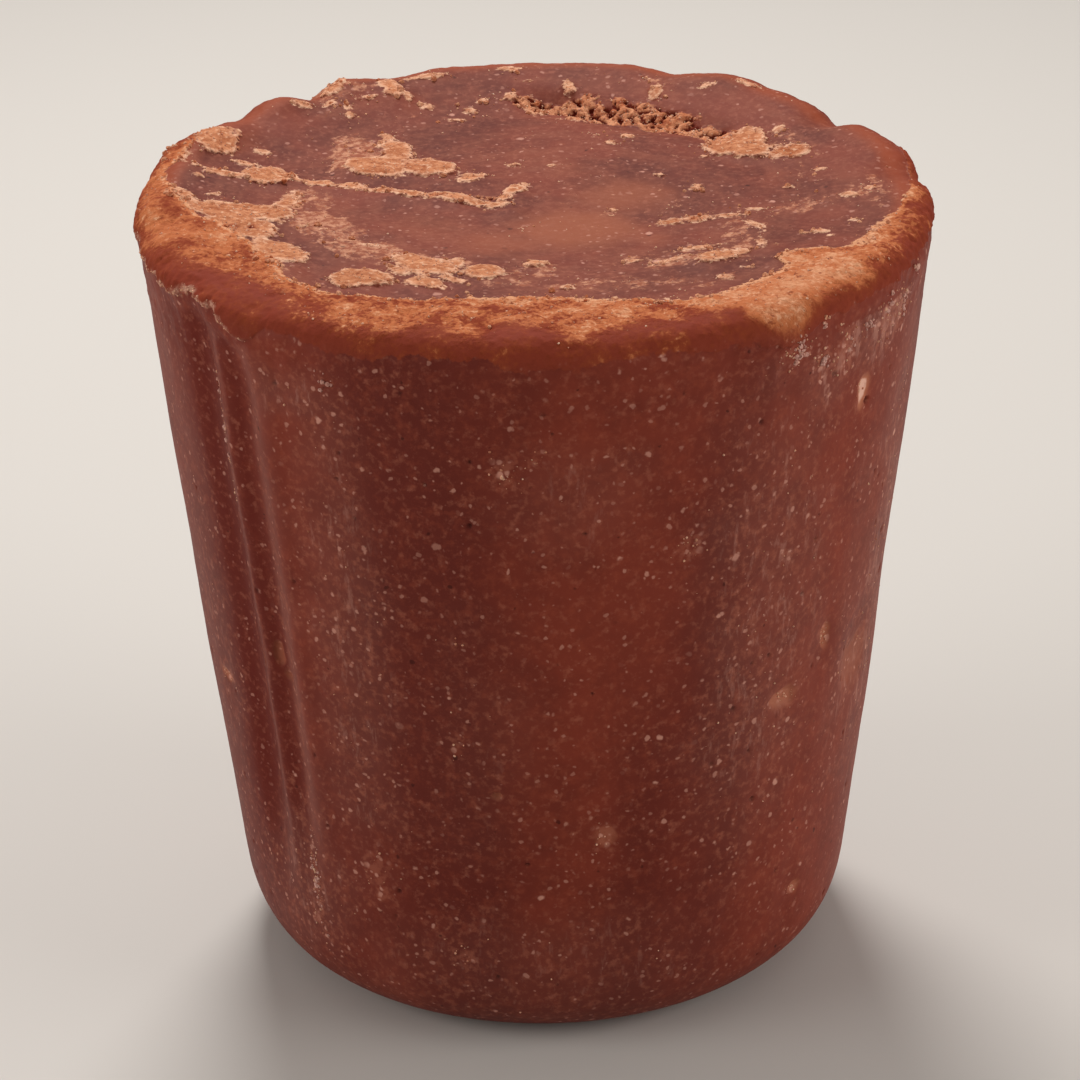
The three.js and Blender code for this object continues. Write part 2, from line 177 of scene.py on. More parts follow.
# Froth plates on the face: middle, length and width, direction of the length, thickness, paleness.
PLATES = [
    # on the left
    ((-43, 19), (9.4, 7), 82, 0.6, 0.75), ((-47.2, 13.5), (6.5, 3), 100, 0.4, 0.5),
    ((-35, 9.5), (8, 6.6), 30, 0.7, 0.85), ((-31.6, 9.6), (3, 2), 0, 0.4, 0.9),
    ((-40.6, 8.6), (6.4, 3.2), -8, 0.35, 0.6), ((-38.2, 14), (3, 1.6), 0, 0.3, 0.7),
    ((-36.2, 18.8), (2.6, 1.6), 20, 0.3, 0.6), ((-45.4, -1), (5.6, 2.8), -60, 0.4, 0.75),
    ((-32, 1), (9, 2.6), 80, 0.3, 0.4), ((-38.8, -4.8), (13, 8.4), -4, 0.6, 0.6),
    ((-37.8, -10.4), (11.5, 7.4), -35, 0.6, 0.8), ((-33.4, -5.4), (6.5, 5), 60, 0.5, 0.5),
    ((-32.4, -18.6), (9, 6.6), -38, 0.6, 0.85),
    # middle left
    ((-20.8, 14.8), (9.5, 7.6), -20, 0.5, 0.5), ((-14.2, 14), (8.6, 7.4), -35, 0.6, 0.6),
    ((-18.6, 21), (8.6, 4.6), 105, 0.45, 0.65), ((-19.6, 26), (3, 1.6), 110, 0.3, 0.8),
    ((-8.6, 10), (3.6, 3.2), 40, 0.5, 0.8), ((-7, 11), (1.8, 1.6), 0, 0.4, 0.8),
    # the broken crest of the long wrinkle
    ((-28.3, 8.4), (5.4, 3.6), -20, 0.5, 0.8), ((-24.3, 7.2), (6, 3.4), -22, 0.5, 0.75),
    ((-20, 5.6), (5, 2.8), -20, 0.5, 0.5), ((-16.4, 4.1), (5.4, 3.4), -22, 0.6, 0.6),
    ((-13, 3.1), (4, 3), 0, 0.5, 0.2), ((-10.4, 2), (5, 3.6), -20, 0.9, 1),
    ((-7, 1.1), (5, 3.2), -10, 0.7, 0.7), ((-4.9, 0), (4.6, 2.2), -5, 0.5, 0.9),
    ((-4, 2), (3.6, 2.8), 50, 0.6, 0.75), ((-2.6, 4.8), (5.4, 3), 60, 0.6, 0.6),
    # front left
    ((-21.5, -27.4), (8.8, 6.6), -12, 0.55, 0.7), ((-13.8, -22.8), (9.6, 6.4), -38, 0.5, 0.9),
    ((-10, -22.2), (4, 2.4), 80, 0.4, 0.9), ((-6.4, -25.4), (6.4, 5), -40, 0.55, 0.75),
    ((-13.6, -29.2), (6, 3.6), -30, 0.45, 0.95), ((-10.2, -27.8), (4, 2), -30, 0.4, 0.8),
    ((-17, -24.6), (4, 2.4), -50, 0.4, 0.75),
    ((-20.6, -15.4), (3.6, 1.2), -20, 0.35, 0.8), ((0.2, -22.5), (3.2, 2.8), 30, 0.6, 0.9),
    # front right
    ((22.4, -22), (6.4, 3.6), 30, 0.5, 0.85), ((20.6, -17.8), (7, 1.5), 10, 0.35, 0.95),
    ((16.2, -22.4), (6, 1.8), 28, 0.3, 0.7), ((12.2, -22), (3, 1.5), 20, 0.3, 0.8),
    ((25.6, -20.4), (3, 1.6), 20, 0.4, 0.8), ((26.6, -25.4), (2, 1.2), 0, 0.3, 0.6),
    ((17.4, -7.4), (4, 2.8), 20, 0.45, 0.2), ((20.8, -6.6), (4.4, 2.8), 10, 0.5, 0.3),
    ((24.8, -5.8), (5, 2), 5, 0.3, 0.6), ((28, -10), (6, 1.6), -68, 0.25, 0.5),
    ((28.4, -17), (5, 1.1), -86, 0.2, 0.45), ((28.4, -3.9), (2.4, 1.2), -10, 0.4, 0.8),
    ((34.2, -14.3), (2, 1.4), 0, 0.35, 0.75), ((21.3, 5), (2.4, 1.8), 60, 0.5, 0.95),
    # back right
    ((27, 21), (10.5, 8.4), 70, 0.75, 0.7), ((29.2, 17), (6.4, 5), 30, 0.7, 0.6),
    ((34, 16), (6, 5), 50, 0.45, 0.1), ((33, 24), (3, 1.4), 60, 0.3, 0.3),
    # back
    ((5, 40.3), (3.2, 2.2), 100, 0.6, 1), ((-19.6, 39.4), (5.6, 3), -65, 0.4, 0.8),
    ((-17.2, 37.4), (2.4, 1.4), 90, 0.3, 0.7), ((-27.4, 39), (5, 2.8), 75, 0.35, 0.5),
    ((-25.2, 31.9), (2, 1.4), 90, 0.3, 0.7), ((-28, 34.4), (2.6, 1.4), 60, 0.3, 0.6),
    ((-31.6, 32.6), (3.4, 2), 20, 0.3, 0.5), ((-22.6, 36.6), (3, 1.2), 30, 0.3, 0.7),
    ((17, 37.8), (4.4, 2), 80, 0.3, 0.5), ((0, 37.4), (5, 3), 100, 0.5, 0.8),
    ((6, 34.6), (6, 2.6), 110, 0.5, 0.75), ((-10.6, 32.6), (3, 1.2), 0, 0.2, 0.4),
    ((-15, 43.6), (5, 1.6), 10, 0.3, 0.7), ((-3, 46), (4, 1.6), 0, 0.3, 0.8),
    ((29.4, 37.4), (5, 1.6), -35, 0.4, 0.9), ((24, 37.6), (3, 1.8), 0, 0.3, 0.4),
]
# Froth that dried to a thin, grainy film: middle, length and width, direction, how well it covers.
FILMS = [
    ((-24, 19.5), (14, 8), 95, 0.75), ((-29.5, 1), (12, 7), 100, 0.6),
    ((-26.5, -8.5), (17, 9), -70, 0.75), ((-21, -17.5), (15, 8), -45, 0.7),
    ((-12, -21), (12, 5), -20, 0.5), ((-34, -25), (9, 5), -40, 0.7), ((19, -21), (18, 8), 15, 0.6),
    ((33.5, -4), (12, 7), 15, 0.45), ((26, -13), (7, 14), 0, 0.4), ((-43, 28), (9, 4), 60, 0.4),
    ((-27, 36), (9, 12), -30, 0.4), ((33, 19), (8, 12), 10, 0.4), ((17, 39.5), (5, 10), 0, 0.45),
    ((12, -30), (26, 5), 5, 0.4), ((44, -2), (6, 14), 0, 0.35), ((-8, 36), (16, 5), 0, 0.25),
    ((16, -4), (26, 12), 20, 0.15), ((-2, -27), (14, 8), 10, 0.45), ((35, 8), (12, 8), 60, 0.25),
]
# Where the face is milky, with fine bubbles shut in under its skin.
MILK = [
    ((5, -9), (20, 18), 20, 1), ((12, 3), (16, 14), 0, 0.8), ((-4, -14), (16, 12), -20, 0.7),
    ((4, 14), (20, 5), -40, 0.6), ((15, -14), (12, 4), 55, 0.9), ((-13, -8), (12, 12), 0, 0.3),
]
# Tears, as lines with a width: the spongy patch at the back in three stretches, two pockets in the
# crest of the long wrinkle, and two holes in the big plate on the left.
TEARS = [
    ([(-1.5, 38.4), (6, 36.4)], 2.6),
    ([(6, 35.8), (14.5, 33), (20.5, 29)], 5),
    ([(20.5, 29), (25, 26)], 3.4),
    ([(-7, 2.8), (-5.2, 2.2)], 1.4),
    ([(-14, 3), (-12.4, 2.8)], 1),
    ([(-38.6, -10.8), (-38.2, -10.4)], 1.3),
    ([(-36.2, -10.3), (-35.8, -10)], 1),
]
# Pores in the froth: how far apart, and how deep.
PORE_SPACING = 2.1
PORE_DEPTH = 0.14
# Flecks of froth that broke off and lie about on the face, thickest among the films.
FLECK_SEED = 12
FLECK_COUNT = 420
FLECK_LENGTH = (0.8, 2.6)
FLECK_SHARE = 0.09  # how many are kept where there is no film
FACE_RADIUS = 46


def patch_depth(x, y, middle, size, turn):
    """How far inside the edge of an oval each point is. It is below 0 outside."""
    c, s = cos(radians(turn)), sin(radians(turn))
    east, north = x - middle[0], y - middle[1]
    along = (east * c + north * s) / (size[0] / 2)
    across = (north * c - east * s) / (size[1] / 2)
    return (1 - np.hypot(along, across)) * min(size) / 2


def patch_cover(x, y, patches, fade, wander=0):
    """How well soft ovals cover each point, from 1.5 outside their edge to as far inside as fade."""
    cover = np.zeros(len(x))
    for middle, size, turn, most in patches:
        depth = patch_depth(x, y, middle, size, turn) + wander
        cover = np.maximum(cover, most * smooth(depth, -1.5, fade))
    return cover


def strewn_flecks(dice):
    """Random small plates, likelier where the films are."""
    spots = dice.uniform(-FACE_RADIUS, FACE_RADIUS, (FLECK_COUNT, 2))
    cover = patch_cover(*spots.T, FILMS, 2)
    kept = (np.hypot(*spots.T) < FACE_RADIUS) & (dice.random(FLECK_COUNT) < FLECK_SHARE + cover)
    flecks = []
    for x, y in spots[kept]:
        length = dice.uniform(*FLECK_LENGTH)
        size = (length, length * dice.uniform(0.4, 0.9))
        turn = dice.uniform(-40, 40)
        thickness = dice.uniform(0.2, 0.6)
        flecks.append(((x, y), size, turn, thickness, dice.uniform(0.3, 1)))
    return flecks


def line_depth(x, y, line, width):
    """How far inside the edge of a bent strip each point is. It is below 0 outside."""
    flat = np.column_stack([x, y])
    away = np.full(len(x), np.inf)
    for start, end in zip(np.array(line[:-1], float), np.array(line[1:], float)):
        run = end - start
        t = np.clip((flat - start) @ run / (run @ run), 0, 1)
        away = np.minimum(away, np.linalg.norm(flat - start - t[:, None] * run, axis=1))
    return width / 2 - away


def apply_modifier(piece, kind, **settings):
    """Adds a modifier of this kind to the piece, sets it and applies it."""
    modifier = piece.modifiers.new(kind.lower(), kind)
    for name, value in settings.items():
        setattr(modifier, name, value)
    bpy.ops.object.modifier_apply(modifier=modifier.name)


def read_vertices(mesh, name):
    """The mesh's vertex places ("co") or directions ("normal") as an array of rows."""
    values = np.empty(len(mesh.vertices) * 3)
    mesh.vertices.foreach_get(name, values)
    return values.reshape(-1, 3)


SKIN_SPACING = 0.32
SKIN_TRIANGLES = 196_000
PLATE_STAND = 0.4  # the share of a plate's thickness that isn't in the solid
SWIRL_RADIUS = 9  # the smaller, the longer are the streaks that go round the face
OUTSIDE = -9  # how deep inside the crust, a plate or a tear a point is that is far from any

bpy.ops.object.select_all(action="DESELECT")
cad_block = frame["nodes"]["jaggery_block"]
block = cad_block.copy()
block.data = cad_block.data.copy()
block.parent = None
block.name = block.data.name = "cast_block"
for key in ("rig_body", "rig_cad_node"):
    del block[key]
bpy.context.collection.objects.link(block)
block.select_set(True)
bpy.context.view_layer.objects.active = block
bpy.ops.object.mode_set(mode="EDIT")
bpy.ops.mesh.select_all(action="SELECT")
bpy.ops.mesh.remove_doubles(threshold=mm(0.001))
bpy.ops.mesh.tris_convert_to_quads()
bpy.ops.object.mode_set(mode="OBJECT")
apply_modifier(block, "SUBSURF", levels=2, render_levels=2)
apply_modifier(block, "REMESH", mode="VOXEL", voxel_size=mm(SKIN_SPACING))
apply_modifier(block, "SMOOTH", factor=0.5, iterations=5)

points = read_vertices(block.data, "co") * 1000
normals = read_vertices(block.data, "normal")
is_top = points[:, 2] > TOP_FADE[0] - 1
fields = {}  # what the finish reads, as a value at each point


def keep_field(name, values, where, elsewhere):
    """Keeps values for the points of one part of the skin, and one value for all other points."""
    fields[name] = np.full(len(points), float(elsewhere))
    fields[name][where] = values


# The top: the crust, then the plates, films and tears of the face inside it.
top = points[is_top]
x, y, z = top.T
radius = np.hypot(x, y)
angle = np.degrees(np.arctan2(x, -y))
reach = radius + np.maximum(0, POUR_HEIGHT - z)
on_face = z - FACE_FROM
coarse = lumps(top, COARSE)
ragged = lumps(top, RAGGED, 3)
grainy = lumps(top, GRAINY)

# The crust: how deep inside it each point is, how far it stands out, and how pale it is. It is
# calmer on its shoulder in front, and has a pale line where its lower edge is a lip.
crust = np.minimum(radius - around(CRUST_INNER, angle), z - around(CRUST_LOWER, angle))
crust += 0.8 * coarse + 0.45 * ragged
crust_cover = smooth(crust, -0.05, 0.4)
roughness = around(CRUST_ROUGHNESS, angle)
shoulder = smooth(reach, 44, 51)
front_calm = 1 - 0.5 * shoulder * smooth(-np.abs(angle + 8), -46, -36)
lip = around(CRUST_LIP, angle)
stand = CRUST_STAND + (lip - CRUST_STAND) * smooth(reach, *LIP_FADE)
bumpy = roughness * front_calm * (0.15 * ragged + 0.18 * grainy)
top_lift = crust_cover * (stand + 0.12 * coarse + bumpy)
top_lift += (1 - crust_cover) * 0.12 * ragged * smooth(radius, 44, 49)
at_edge = smooth(-np.abs(crust - 0.3), -0.4, -0.15)
lip_line = smooth(lip, 0.35, 0.5) * smooth(reach, 50.5, 52) * at_edge
pale = around(PALENESS, angle) * smooth(around(PALE_REACH, angle) - reach, -3, 2.5)
glow = smooth(z, *GLOW_HEIGHT) * smooth(radius, *GLOW_RADIUS)

# The plates and flecks, each with a raised edge that wanders, and the films between them.
plate = np.full(len(top), float(OUTSIDE))
plate_lift = np.zeros(len(top))
tone = np.full(len(top), 0.5)
flecks = strewn_flecks(np.random.default_rng(FLECK_SEED))
for middle, size, turn, thickness, paleness in PLATES + flecks:
    wander = min(1, min(size) / 4)
    depth = patch_depth(x, y, middle, size, turn) + wander * (0.7 * coarse + 0.55 * ragged)
    rise = smooth(depth, -0.1, 0.35) - 0.35 * smooth(depth, 0.4, 1.2) + 0.3 * smooth(depth, 1, 3)
    plate_lift = np.maximum(plate_lift, PLATE_STAND * thickness * rise)
    tone = np.where(depth > plate, paleness, tone)
    plate = np.maximum(plate, depth)
plate = np.minimum(plate, on_face)
plate_cover = smooth(plate, -0.05, 0.35)
top_lift += (1 - crust_cover) * (on_face > 0) * plate_lift * (1 + 0.3 * ragged)
top_lift += (1 - crust_cover) * plate_cover * (0.04 * ragged + 0.05 * grainy)
film = patch_cover(x, y, FILMS, 2, 1.5 * coarse)
milk = patch_cover(x, y, MILK, 5, 1.5 * coarse)
top_lift += 0.05 * film * ragged

# The tears, which are ragged and full of gaps, and the pores of all other froth.
tear = np.full(len(top), float(OUTSIDE))
for line, width in TEARS:
    wander = min(1, width / 5)
    tear = np.maximum(tear, line_depth(x, y, line, width) + wander * (1.1 * coarse + 1.2 * ragged))
tear = np.minimum(tear, on_face)
spongy = (tear > -1) | (crust > -1) | (plate > -1)
hollow = np.zeros(len(top))
wandering = top[spongy] + 0.5 * ragged[spongy, None] + 0.3 * grainy[spongy, None]
hollow[spongy] = 1 - smooth(pores(wandering, PORE_SPACING), 0.35, 0.95)
torn = smooth(tear, -0.3, 0.6)
gaps = 1 - smooth(0.4 * ragged + 0.8 * grainy, -0.35, 0.1)
hollow = np.where(tear > -0.3, gaps, hollow)
top_lift += torn * (0.2 * ragged + 0.3 * grainy - 0.05 - 0.4 * gaps)
porous = np.maximum(crust_cover * front_calm, plate_cover) * (1 - torn)
top_lift -= PORE_DEPTH * porous * hollow**2
top_lift += 0.03 * coarse

keep_field("crust", crust, is_top, OUTSIDE)
keep_field("plate", plate, is_top, OUTSIDE)
keep_field("tear", tear, is_top, OUTSIDE)
keep_field("pale", pale, is_top, 0)
keep_field("lip", lip_line, is_top, 0)
keep_field("glow", glow, is_top, 0)
keep_field("reach", reach, is_top, 99)  # farther out than any mask looks
keep_field("tone", tone, is_top, 0.5)
keep_field("film", film * (on_face > 0), is_top, 0)
keep_field("milk", milk * (on_face > 0), is_top, 0)
keep_field("hollow", hollow, is_top, 0)
keep_field("proud", 0.5 * ragged + 0.5 * grainy, is_top, 0)
keep_field("roughness", roughness, is_top, 1)

# The wall: scars, strewn pits, and where grain shows. First the scars: angle, height, width, height
# of the scar, depth, and how pale it is, which is below 0 for a hole painted dark with painted
# shade.
SCARS = [
    (65, 47, 9, 8, 0.25, 0.3), (42.5, 48.8, 4.4, 2.6, 0.5, 0.65), (54.2, 89.4, 2.4, 4.6, 0.25, 1),
    (55.4, 87.6, 1, 1.2, 0.8, -1), (52, 54.6, 1.6, 3.6, 0.35, 0.6), (51, 17, 2.6, 2, 0.3, 0.5),
    (-66.5, 45.4, 4, 1.6, 0.3, 0.7), (-7.5, 41, 1.4, 1.2, 0.5, 0.6), (10, 34.5, 2.6, 3, 0.1, 0.35),
    (-47, 55, 1.6, 3, 0.4, 0.35), (-45.4, 52, 2, 1.6, 0.35, 0.3), (-51, 53, 1.4, 2.4, 0.3, 0.2),
    (-112, 30, 5, 7, 0.3, 0.45), (171, 71, 2.6, 2.4, 0.4, 0.6), (-158, 52, 6, 4, 0.25, 0.4),
    (108, 83, 2, 3.6, 0.5, 0.6), (143, 38, 3, 6, 0.25, 0.35),
]
# Clusters of grains set in the wall: angle, height, width, height of the cluster, how many.
GRAIN_CLUSTERS = [
    (-4.5, 87.8, 4, 5, 22), (-1, 90.5, 2.4, 2, 7), (22, 76, 4.5, 3.6, 16), (38, 99.4, 5, 5, 46),
    (43, 96.8, 3, 3, 12), (-13.4, 63.4, 2, 1, 4), (-13.6, 48.4, 2, 3, 6), (43, 48.6, 3.4, 1.6, 12),
    (-45, 21, 1.6, 17, 42), (10, 34.5, 3, 4, 9), (-30, 26, 4, 9, 12), (-15, 15, 3.4, 3, 8),
    (61, 98, 9, 8, 46), (48, 97, 5, 8, 24), (-66.5, 45.4, 4, 1.6, 9), (53.2, 89.6, 1.4, 2.4, 14),
    (52, 54.8, 1.8, 3.6, 12), (50, 17, 2.6, 2, 7), (170, 73, 4, 5, 20), (-140, 64, 5, 6, 20),
    (97, 60, 5, 4, 18), (-98, 84, 4, 6, 18), (128, 92, 5, 7, 26), (-51.2, 86, 1, 22, 26),
]
# Where undissolved grain dusts the wall: angle, height, width, height of the place, how thickly.
DUST = [
    (56, 98, 24, 14, 1), (44, 94, 12, 12, 0.8), (-36, 95, 12, 9, 0.7), (-43.5, 58, 3.4, 84, 0.5),
    (-31, 62, 16, 84, 0.6), (37, 62, 26, 84, 0.65), (5, 84, 26, 16, 0.4), (-10, 48, 18, 40, 0.25),
    (60, 55, 14, 60, 0.5), (-68, 60, 14, 90, 0.4), (150, 90, 40, 20, 0.8), (-130, 60, 40, 90, 0.5),
    (110, 50, 40, 80, 0.5), (178, 40, 30, 60, 0.35), (-95, 90, 30, 16, 0.7), (70, 60, 18, 90, 0.8),
    (-48, 18, 22, 34, 0.6), (0, 12, 60, 24, 0.4),
]
# How much painted shade reddens and darkens the folds' grooves (below 0), and how much painted grey
# sheen lightens their crests (above 0), by angle.
FOLD_SHADE_AND_SHEEN = [
    (-66, 0), (-61, -0.4), (-57, -1), (-53.6, -0.8), (-52.3, 0.1), (-51, -0.2), (-50, 0.7),
    (-49.2, -0.3), (-47.6, -0.9), (-46.2, -0.3), (-44.2, 0.7), (-42, 0.4), (-39, 0), (120, 0),
    (127, -0.7), (131, 0), (134, 0.5), (138, 0),
]
PIT_SEED = 31
PIT_COUNT = 130
PIT_HEIGHT = (6, 99)  # from the floor
PIT_WIDTH = (0.7, 1.6)
PIT_DEPTH = 0.35  # as a share of the width


def wall_out(angle, z, radius, at, height, size):
    """Distance from the middle of an oval mark in the wall, as a share of its half size."""
    turn = (angle - at + 180) % 360 - 180
    return np.hypot(np.radians(turn) * radius / (size[0] / 2), (z - height) / (size[1] / 2))


is_wall = points[:, 2] < WALL_FADE[1] + 1
wall = points[is_wall]
z = wall[:, 2]
radius = np.hypot(wall[:, 0], wall[:, 1])
angle = np.degrees(np.arctan2(wall[:, 0], -wall[:, 1]))
swell = lumps(wall, SWELLING)
ragged = lumps(wall, RAGGED)
wall_lift = 0.05 * swell + 0.012 * ragged
scar = np.zeros(len(wall))
pit_shade = np.zeros(len(wall))
for at, height, width, tall, depth, paleness in SCARS:
    out = wall_out(angle, z, radius, at, height, (width, tall)) + 0.25 * swell + 0.35 * ragged
    wall_lift -= depth * (1 - smooth(out, 0.4, 1.2))
    scar = np.maximum(scar, paleness * (1 - smooth(out, 0.5, 1.4)))
    pit_shade = np.maximum(pit_shade, -paleness * (1 - smooth(out, 0.4, 1.1)))
dice = np.random.default_rng(PIT_SEED)
pit_angles = dice.uniform(-180, 180, PIT_COUNT)
pit_heights = dice.uniform(*PIT_HEIGHT, PIT_COUNT)
pit_widths = mostly_small(PIT_WIDTH, 3, PIT_COUNT, dice)
for at, height, width in zip(pit_angles, pit_heights, pit_widths):
    near = np.flatnonzero(np.abs(z - height) < width)
    out = wall_out(angle[near], z[near], radius[near], at, height, (width, width))
    pit = 1 - smooth(out + 0.25 * ragged[near], 0.2, 1)
    wall_lift[near] -= PIT_DEPTH * width * pit
    pit_shade[near] = np.maximum(pit_shade[near], pit)
dust = np.zeros(len(wall))
for at, height, width, tall, thickness in DUST:
    out = wall_out(angle, z, radius, at, height, (width, tall)) + 0.3 * swell
    dust = np.maximum(dust, thickness * (1 - smooth(out, 0.3, 1.2)))
crumb = np.zeros(len(wall))
for at, height, width, tall, _ in GRAIN_CLUSTERS:
    out = wall_out(angle, z, radius, at, height, (width, tall)) + 0.3 * ragged
    crumb = np.maximum(crumb, 1 - smooth(out, 0.4, 1.3))
# The folds' painted shade and sheen, faded out towards the bottom.
fold_shade_and_sheen = around(FOLD_SHADE_AND_SHEEN, angle + 0.8 * swell) * smooth(z, 14, 34)
keep_field("dust", dust, is_wall, 0)
keep_field("crumb", crumb, is_wall, 0)
keep_field("fold_shade_and_sheen", fold_shade_and_sheen, is_wall, 0)
keep_field("scar", scar, is_wall, 0)
keep_field("pit", pit_shade, is_wall, 0)

# Both reliefs fade into each other below the crust, the flat bottom has none, and no point leaves
# the solid's box.
BOTTOM_FADE = (1, 12)
lift = np.zeros(len(points))
lift[is_wall] += wall_lift * smooth(z, *BOTTOM_FADE) * (1 - smooth(z, *WALL_FADE))
lift[is_top] += top_lift * smooth(top[:, 2], *TOP_FADE)
box = np.array([cad_low, cad_high]) * 1000
room = np.where(normals > 0, box[1] - points, points - box[0]) / np.maximum(np.abs(normals), 1e-6)
lift = np.minimum(lift, room.min(axis=1))
block.data.vertices.foreach_set("co", ((points + normals * lift[:, None]) / 1000).ravel())
for name, values in fields.items():
    block.data.attributes.new(name, "FLOAT", "POINT").data.foreach_set("value", values)
from_axis = np.hypot(points[:, 0], points[:, 1])[:, None]
swirl = np.hstack([points[:, :2] * SWIRL_RADIUS / np.maximum(from_axis, 1), from_axis])
swirl_field = block.data.attributes.new("swirl", "FLOAT_VECTOR", "POINT")
swirl_field.data.foreach_set("vector", swirl.ravel())
apply_modifier(block, "DECIMATE", ratio=SKIN_TRIANGLES / 2 / len(block.data.polygons))
bpy.ops.object.shade_smooth()


class Wire:
    """The output of a shader node. Arithmetic on it adds Math nodes."""

    def __init__(self, socket):
        self.socket = socket

    def maths(self, operation, *values):
        """What a Math node makes of these values."""
        inputs = dict(enumerate(values))
        return add_node(self.socket.id_data, "ShaderNodeMath", {"operation": operation}, inputs)

    def __add__(self, other):
        return self.maths("ADD", self, other)

    def __sub__(self, other):
        return self.maths("SUBTRACT", self, other)

    def __rsub__(self, other):
        return self.maths("SUBTRACT", other, self)

    def __mul__(self, other):
        return self.maths("MULTIPLY", self, other)

    def at_least(self, other):
        return self.maths("MAXIMUM", self, other)

    __radd__ = __add__
    __rmul__ = __mul__


def pick_socket(sockets, key):
    """The socket with this number, identifier or name."""
    if isinstance(key, int):
        return sockets[key]
    return next(socket for socket in sockets if key in (socket.identifier, socket.name))


def add_node(tree, kind, settings, inputs, output=0):
    """Adds a node, sets it, fills its sockets with values or wires, and returns an output."""
    made = tree.nodes.new(kind)
    for name, value in settings.items():
        setattr(made, name, value)
    for key, value in inputs.items():
        socket = pick_socket(made.inputs, key)
        if isinstance(value, Wire):
            tree.links.new(value.socket, socket)
        else:
            socket.default_value = value
    return Wire(pick_socket(made.outputs, output))


def srgb(red, green, blue):
    """A colour given as 0 to 255 on a screen, as the linear colour that a shader takes."""
    shares = [channel / 255 for channel in (red, green, blue)]
    linear = [s / 12.92 if s <= 0.04045 else ((s + 0.055) / 1.055) ** 2.4 for s in shares]
    return (*linear, 1)


class Finish:
    """A material, made of nodes. Widths and distances are in millimetres."""

    def __init__(self, name):
        self.material = bpy.data.materials.new(name)
        self.material.use_nodes = True
        self.tree = self.material.node_tree
        self.tree.nodes.clear()
        self.place = self.node("ShaderNodeTexCoord", {}, {}, "Object")

    def node(self, kind, settings, inputs, output=0):
        return add_node(self.tree, kind, settings, inputs, output)

    def field(self, name, output="Fac"):
        """A value kept at the piece's points."""
        return self.node("ShaderNodeAttribute", {"attribute_name": name}, {}, output)

    def stretched(self, x, y, z):
        """Places on the piece, scaled along its axes."""
        inputs = {"Vector": self.place, "Scale": (x, y, z)}
        return self.node("ShaderNodeMapping", {}, inputs, "Vector")

    def grain(self, width, detail, roughness, place=None, unit=1000):
        """Noise from 0 to 1 with lumps of this width. The unit is 1 for places in millimetres."""
        inputs = {"Vector": place or self.place, "Scale": unit / width}
        inputs |= {"Detail": detail, "Roughness": roughness}
        return self.node("ShaderNodeTexNoise", {}, inputs, "Fac")

    def specks(self, spacing, size, share, place):
        """Spots, 1 in their middles: how far apart, their widest radius, and how many are left."""
        inputs = {"Vector": place, "Scale": 1000 / spacing}
        near = self.node("ShaderNodeTexVoronoi", {}, inputs, "Distance")
        dice = self.node("ShaderNodeTexVoronoi", {}, inputs, "Color")
        pick = self.node("ShaderNodeSeparateColor", {}, {"Color": dice}, "Red")
        grade = self.node("ShaderNodeSeparateColor", {}, {"Color": dice}, "Green")
        limit = (0.35 + grade * 0.65) * (size / spacing)
        spot = 1 - self.step(near - limit, -0.35 * size / spacing, 0.15 * size / spacing)
        return spot * self.step(pick, 1 - share, 1 - share * 0.3)

    def step(self, value, low, high):
        """0 where value is below low, 1 where it is above high, and an even S between."""
        inputs = {"Value": value, "From Min": low, "From Max": high}
        return self.node("ShaderNodeMapRange", {"interpolation_type": "SMOOTHSTEP"}, inputs)

    def mix(self, share, first, second):
        """The first colour where share is 0, and the second where it is 1."""
        inputs = {"Factor_Float": share, "A_Color": first, "B_Color": second}
        return self.node("ShaderNodeMix", {"data_type": "RGBA"}, inputs, "Result_Color")

    def bump(self, height, distance, strength):
        """Surface directions that look as if height, from 0 to 1, stood out by this distance."""
        inputs = {"Height": height, "Distance": mm(distance), "Strength": strength}
        return self.node("ShaderNodeBump", {}, inputs, "Normal")

    def finish(self, **sockets):
        """Sends a surface with these sockets to the output."""
        inputs = {name.replace("_", " "): value for name, value in sockets.items()}
        surface = self.node("ShaderNodeBsdfPrincipled", {}, inputs)
        output = self.tree.nodes.new("ShaderNodeOutputMaterial")
        self.tree.links.new(surface.socket, output.inputs["Surface"])
        return self.material


sugar = Finish("set_cane_sugar")
fine = sugar.grain(0.8, 4, 0.6) - 0.5
upright = sugar.stretched(1, 1, 0.12)
height = sugar.node("ShaderNodeSeparateXYZ", {}, {"Vector": sugar.place}, "Z")
reach = sugar.field("reach")
crust_mask = sugar.step(sugar.field("crust") + fine * 1.4, -0.1, 0.2)
plate_mask = sugar.step(sugar.field("plate") + fine * 2, -0.1, 0.3)
tear_mask = sugar.step(sugar.field("tear") + fine * 1.4, -0.3, 0.3)
face_mask = sugar.step(height, mm(101.5), mm(103.5)) * (1 - sugar.step(reach, 46, 52))
hollow = sugar.field("hollow")
dust = sugar.field("dust")

# The wall: dark, with redder and paler upright bands. Its folds have painted shade, redder still, in
# their grooves, and a painted grey sheen on their crests.
wall_tone = sugar.step(sugar.grain(26, 2, 0.5, upright), 0.35, 0.65)
wall_colour = sugar.mix(wall_tone, srgb(104, 42, 33), srgb(130, 55, 40))
wall_patches = sugar.step(sugar.grain(7, 3, 0.6), 0.35, 0.75)
wall_colour = sugar.mix(wall_patches * 0.5, wall_colour, srgb(98, 40, 32))
wall_speckle = sugar.step(sugar.grain(1.6, 3, 0.7), 0.45, 0.75)
wall_colour = sugar.mix(wall_speckle * 0.35, wall_colour, srgb(154, 74, 52))
